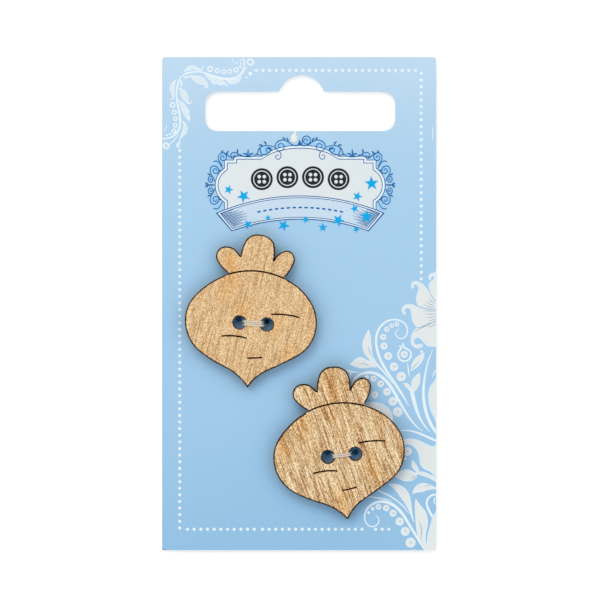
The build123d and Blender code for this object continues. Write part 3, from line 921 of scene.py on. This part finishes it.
def wood_finish(name, node, lean, wood_tones, tints, pore_share, shares):
    """Plywood face with its grain leaning by so many degrees, over scorched walls of three plies."""
    finish = new_finish(name, 0.7, 0.06)
    low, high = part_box(node)
    origin = (low + high) / 2
    turn = math.radians(lean)
    bands, streaks, fibres, grit, flecks, patches = (
        noise(finish, scale, detail, roughness, place(finish, turn, origin, (1, stretch, 1)))
        for stretch, scale, detail, roughness in grain_layers
    )
    depth = 0.5
    for part, share in zip((bands, streaks, fibres, grit), shares):
        depth = maths(finish, "MULTIPLY_ADD", maths(finish, "ADD", part, -0.5), share, depth)
    wood = steps(finish, depth, wood_tones)
    for x, y, radius in tints:
        away = place(finish, turn, (*on_card(x, y), high.z), (1, tint_stretch, 1))
        away = add(finish, "VectorMath", {0: away}, "Value", operation="LENGTH")
        away = maths(finish, "ADD", away, maths(finish, "MULTIPLY", patches, -radius))
        tint = spread(finish, away, 0.5 * radius, -0.5 * radius)
        wood = mixed(finish, tint, wood, orange_tint, "MULTIPLY")
    pore = spread(finish, flecks, *pore_reach, 0.0, pore_share)
    wood = mixed(finish, pore, wood, pore_brown, "MULTIPLY")
    # The dark line beside the cuts is partly scorching and partly painted shade.
    edge = add(finish, "Attribute", {}, "Fac", attribute_name="from_cut")
    ragged = spread(finish, noise(finish, 1.6, 3), *noise_reach, *scorch_and_shade_shifts)
    scorch_and_shade = steps(finish, maths(finish, "ADD", edge, ragged), scorch_and_shade_tones)
    wood = mixed(finish, 1.0, wood, scorch_and_shade, "MULTIPLY")
    plies = steps(finish, spread(finish, axis(finish, "Object", "Z"), low.z, high.z), ply_tones)
    soot = noise(finish, 3.0, 4, 0.7, place(finish, scale=(1, 1, 0.25)))
    plies = shaded(finish, plies, spread(finish, soot, *noise_reach, *soot_shades))
    colour = mixed(finish, on_face(finish, high.z - print_depth), plies, wood)
    return coat(finish, colour, maths(finish, "ADD", streaks, fibres), grain_depth, 0.6)


grain_layers = (  # how far each is squeezed along the grain, then its scale, detail and roughness
    (0.05, 0.7, 3, 0.6),  # broad bands
    (0.05, 2.4, 3, 0.7),  # streaks
    (0.045, 5.0, 2, 0.6),  # fibres
    (0.6, 6.4, 1, 0.8),  # grit
    (0.05, 4.2, 1, 0.6),  # pores
    (0.3, 0.9, 3, 0.6),  # patches that give the tints their uneven edges
)
grain_depth = 0.02
tint_stretch = 0.45  # the tints are longer along the grain too
pore_reach = (0.58, 0.66)
orange_tint = paint(254, 236, 208)
pore_brown = paint(138, 92, 56)
# The near-black next to the cut is partly scorching and partly painted shade, like the shade at the walls'
# foot.
scorch_and_shade_tones = tones(  # by distance from the cut, in mm
    (0.0, (10, 5, 3)), (0.15, (24, 11, 5)), (0.2, (136, 92, 50)), (0.29, (255, 255, 255))
)
scorch_and_shade_shifts = (-0.03, 0.05)  # what makes the dark line's edge ragged, in mm
soot_shades = (0.6, 1.25)
ply_tones = tones(  # from the button's back to its face
    (0.0, (62, 41, 27)), (0.31, (74, 49, 32)), (0.34, (28, 19, 13)), (0.37, (52, 34, 22)),
    (0.63, (50, 32, 21)), (0.66, (28, 19, 13)), (0.7, (70, 46, 30)), (0.92, (26, 17, 12)),
)
upper_tones = tones(
    (0.05, (164, 116, 68)), (0.36, (211, 170, 119)), (0.52, (227, 191, 141)), (0.95, (254, 233, 194))
)
lower_tones = tones(
    (0.05, (138, 90, 46)), (0.36, (200, 159, 108)), (0.52, (224, 189, 139)), (0.95, (255, 244, 212))
)
upper_tints = [(231, 281, 2.6), (231, 259, 1.2), (242, 314, 2.0), (278, 328, 1.4), (288, 357, 1.6)]
lower_tints = [
    (331, 386, 2.2), (302, 424, 2.2), (284, 448, 1.8), (330, 410, 1.2), (374, 470, 2.0), (342, 500, 2.0),
]
for node, name, lean, wood_tones, tints, pore_share, shares in (
    ("upper_button", "upper_wooden_button", 14.0, upper_tones, upper_tints, 0.4, (0.2, 0.3, 0.55, 1.9)),
    ("lower_button", "lower_wooden_button", -20.0, lower_tones, lower_tints, 0.6, (0.3, 0.75, 1.35, 1.8)),
):
    button = wooden_piece(node, name)
    button.data.materials.append(wood_finish(name, node, lean, wood_tones, tints, pore_share, shares))

# Each button is sewn on with cotton thread, three fine plies twisted together. It goes round
# through both holes and the card, three times on the upper button and twice on the lower one,
# and ends in a knot behind the card at each side.
thread_diameter = 0.3  # this section is in mm until its meshes are made
thread_gap = 0.05
strand_pitch = 0.33
hole_radius = 1.2
hole_pitch = 5.0
knot_size = 1.2 * thread_diameter
knot_lift = 0.95 * thread_diameter
knot_turn = math.radians(55)
knot_distance = 1.75
knot_rise = 2 * thread_diameter
knot_steps = np.radians(np.arange(510, 209, -20))  # along the three-lobed loop that the knot follows
tail_length = 1.2
tail_bend = math.radians(-30)
tight_bend = thread_diameter
loose_bend = 3 * thread_diameter
longest_bend = 0.45  # as a share of the straight before or after it
bend_points = 9
ply_radius = 0.068
ply_orbit = 0.079
ply_count = 3
twist_length = 0.85
ply_sides = 8
yarn_step = 0.07
button_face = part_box("upper_button")[1].z / mm
card_back = card_low.z / mm
back_level = card_back - thread_gap - thread_diameter / 2
top_level = button_face + thread_gap + thread_diameter / 2


def strand_reach(offset):
    room = hole_radius - thread_diameter / 2 - thread_gap
    return hole_pitch / 2 - math.sqrt(room**2 - offset**2)


def knot_points(offset):
    """Tail and overhand knot, flat behind the card."""
    level = knot_lift + thread_diameter / 2
    centre = np.array([-strand_reach(offset) - knot_distance, offset + knot_rise, level])
    turned = np.array(Matrix.Rotation(knot_turn, 3, "Z"))
    loop = []
    for step in knot_steps:
        x = knot_size * (math.sin(step) + 2 * math.sin(2 * step))
        y = knot_size * (math.cos(step) - 2 * math.cos(2 * step))
        loop.append(centre + turned @ [x, y, -knot_lift * math.sin(3 * step)])
    outward = knot_turn - math.pi / 2
    bent = outward + tail_bend
    elbow = loop[0] + tail_length * np.array([math.cos(outward), math.sin(outward), 0])
    end = elbow + tail_length * np.array([math.cos(bent), math.sin(bent), 0])
    return [end, elbow, *loop]


def thread_line(passes):
    """A thread's middle line from tail to tail, as evenly spaced points."""
    offsets = [(k - (passes - 1) / 2) * strand_pitch for k in range(passes)]
    knot = knot_points(offsets[0])
    points = list(knot)
    bends = [loose_bend] * len(knot)
    for offset in offsets:
        reach = strand_reach(offset)
        levels = ((-reach, back_level), (-reach, top_level), (reach, top_level), (reach, back_level))
        points += [np.array([x, offset, z]) for x, z in levels]
        bends += [tight_bend] * 4
    points += [p * (-1, -1, 1) for p in reversed(knot)]
    bends += [loose_bend] * len(knot)
    line = [points[0]]
    for before, corner, after, bend in zip(points, points[1:], points[2:], bends[1:]):
        one, two = before - corner, after - corner
        lengths = np.linalg.norm(one), np.linalg.norm(two)
        one, two = one / lengths[0], two / lengths[1]
        half = math.acos(max(-1.0, min(1.0, one @ two))) / 2
        cut = min(bend / math.tan(half), longest_bend * min(lengths))
        for share in np.linspace(0, 1, bend_points):
            line.append(corner + one * cut * (1 - share) ** 2 + two * cut * share**2)
    line = np.array([*line, points[-1]])
    travelled = np.concatenate([[0], np.cumsum(np.linalg.norm(np.diff(line, axis=0), axis=1))])
    spots = np.linspace(0, travelled[-1], round(travelled[-1] / yarn_step))
    return np.stack([np.interp(spots, travelled, line[:, axis]) for axis in range(3)], 1)


def thread_piece(node, name, button_place, turn, passes, finish):
    """Twisted yarn: each ply winds round the middle line, with its ends closed."""
    line = thread_line(passes)
    along = np.gradient(line, axis=0)
    along /= np.linalg.norm(along, axis=1)[:, None]
    side = np.cross(along[0], (0, 0, 1.0))
    sides = []
    for way in along:
        side = side - way * (side @ way)
        side /= np.linalg.norm(side)
        sides.append(side)
    sides = np.array(sides)
    ups = np.cross(along, sides)
    twist = 2 * math.pi * yarn_step * np.arange(len(line)) / twist_length
    around = 2 * math.pi * np.arange(ply_sides) / ply_sides
    points, faces = [], []
    for ply in range(ply_count):
        phase = (twist + 2 * math.pi * ply / ply_count)[:, None]
        middle = line + ply_orbit * (sides * np.cos(phase) + ups * np.sin(phase))
        ring = sides[:, None] * np.cos(around)[:, None] + ups[:, None] * np.sin(around)[:, None]
        first = len(points)
        points += list((middle[:, None] + ply_radius * ring).reshape(-1, 3))
        last = first + (len(line) - 1) * ply_sides
        for row in range(first, last, ply_sides):
            for k in range(ply_sides):
                after = (k + 1) % ply_sides
                faces.append((row + k, row + after, row + ply_sides + after, row + ply_sides + k))
        faces.append(tuple(range(first + ply_sides - 1, first - 1, -1)))
        faces.append(tuple(range(last, last + ply_sides)))
    spun = np.array(Matrix.Rotation(math.radians(turn), 3, "Z"))
    points = (np.array(points) @ spun.T + (*button_place, 0)) * mm
    mesh = bpy.data.meshes.new(name)
    mesh.from_pydata(points.tolist(), [], faces)
    mesh.shade_smooth()
    mesh.materials.append(finish)
    piece = new_object(name, mesh)
    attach(piece, "root")
    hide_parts(node)


fuzz_depth = 0.02


def cotton_finish(name, colour, shade):
    finish = new_finish(name, 0.75)
    shader = finish.node_tree.nodes["Principled BSDF"]
    shader.inputs["Sheen Weight"].default_value = 0.35
    shader.inputs["Sheen Roughness"].default_value = 0.5
    fuzz = noise(finish, 9.0, 4, 0.7)
    return coat(finish, steps(finish, fuzz, tones((0.3, shade), (0.65, colour))), fuzz, fuzz_depth, 0.6)


cream_cotton = cotton_finish("cream_cotton", (252, 243, 226), (224, 208, 184))
pale_cotton = cotton_finish("pale_cotton", (246, 235, 232), (218, 203, 198))
thread_piece("upper_thread", "upper_sewing_thread", (-8.35, -3.6), -4.1, 3, cream_cotton)
thread_piece("lower_thread", "lower_sewing_thread", (7.75, -27.6), 6.4, 2, pale_cotton)

# The card lies on a white table. The table glows a little wherever the camera sees it, so that
# it shows white and still keeps the card's soft shadow.
table_size = 3.0
table_glow = 0.3
table_mesh = bpy.data.meshes.new("table")
half = table_size / 2
corners = [(-half, -half, 0), (half, -half, 0), (half, half, 0), (-half, half, 0)]
table_mesh.from_pydata(corners, [], [(0, 1, 2, 3)])
table = new_object("table", table_mesh)


def seen(finish):
    """1 where the eye meets the surface, straight on, in a gloss or through something clear."""
    path = add(finish, "LightPath", {}, "Is Camera Ray").node
    mirrored = maths(finish, "ADD", path.outputs["Is Camera Ray"], path.outputs["Is Glossy Ray"])
    return maths(finish, "MAXIMUM", mirrored, path.outputs["Is Transmission Ray"])


white = new_finish("table_white", 0.9, 0.0)
tabletop = noise(white, 0.02, 2)
coat(white, steps(white, tabletop, [(0.3, (0.93, 0.93, 0.93, 1)), (0.7, (0.95, 0.95, 0.95, 1))]))
shader = white.node_tree.nodes["Principled BSDF"]
strength = maths(white, "MULTIPLY", seen(white), table_glow)
glow = add(white, "Emission", {"Color": (1, 1, 1, 1), "Strength": strength})
both = add(white, "AddShader", {0: shader.outputs[0], 1: glow})
white.node_tree.links.new(both, white.node_tree.nodes["Material Output"].inputs["Surface"])
table_mesh.materials.append(white)

# The room's light comes mostly from a bluish ring high overhead and a warmer one below it, so
# that soft shadows hug the buttons. One warm lamp adds a little from the top left. The room
# itself shows white to the camera, like the table.
sky_tones = [  # by height, from the horizon to straight overhead
    (0.0, (0.140, 0.120, 0.090, 1)), (0.5, (0.250, 0.200, 0.155, 1)), (0.7, (0.722, 0.520, 0.401, 1)),
    (0.87, (0.614, 0.833, 0.962, 1)), (0.94, (0.120, 0.440, 0.740, 1)), (0.98, (0.012, 0.050, 0.100, 1)),
]
sky_strength = 2.0
world = bpy.data.worlds.new("studio")
world.use_nodes = True
sky = world.node_tree.nodes["Background"]
sky_colour = steps(world, axis(world, "Generated", "Z"), sky_tones)
world.node_tree.links.new(sky_colour, sky.inputs["Color"])
sky.inputs["Strength"].default_value = sky_strength
wall = add(world, "Background", {"Color": (1, 1, 1, 1), "Strength": 1.0})
room = add(world, "MixShader", {0: seen(world), 1: sky.outputs[0], 2: wall})
world.node_tree.links.new(room, world.node_tree.nodes["World Output"].inputs["Surface"])
bpy.context.scene.world = world

light = bpy.data.lights.new("main_light", "AREA")
light.shape = "SQUARE"
light.size = 0.6
light.energy = 2.99
light.color = (1.17, 1.00, 0.83)
lamp = new_object("main_light", light)
lamp.location = (-0.22, 0.5, 1.1)
lamp.rotation_euler = (-lamp.location).to_track_quat("-Z", "Y").to_euler()

# The camera looks straight down from a metre away. A pixel of its picture takes in as much of
# the card's face as a pixel of the photograph.
camera_distance = 1.0
photo_width = 600
sensor_width = 36.0
camera_data = bpy.data.cameras.new("camera")
camera_data.sensor_width = sensor_width
camera_data.lens = sensor_width * camera_distance / (photo_width * photo_pixel)
camera = new_object("camera", camera_data)
camera.location = (*on_card(photo_width / 2, photo_width / 2), card_face + camera_distance)
bpy.context.scene.camera = camera
bpy.context.scene.view_settings.view_transform = "Standard"
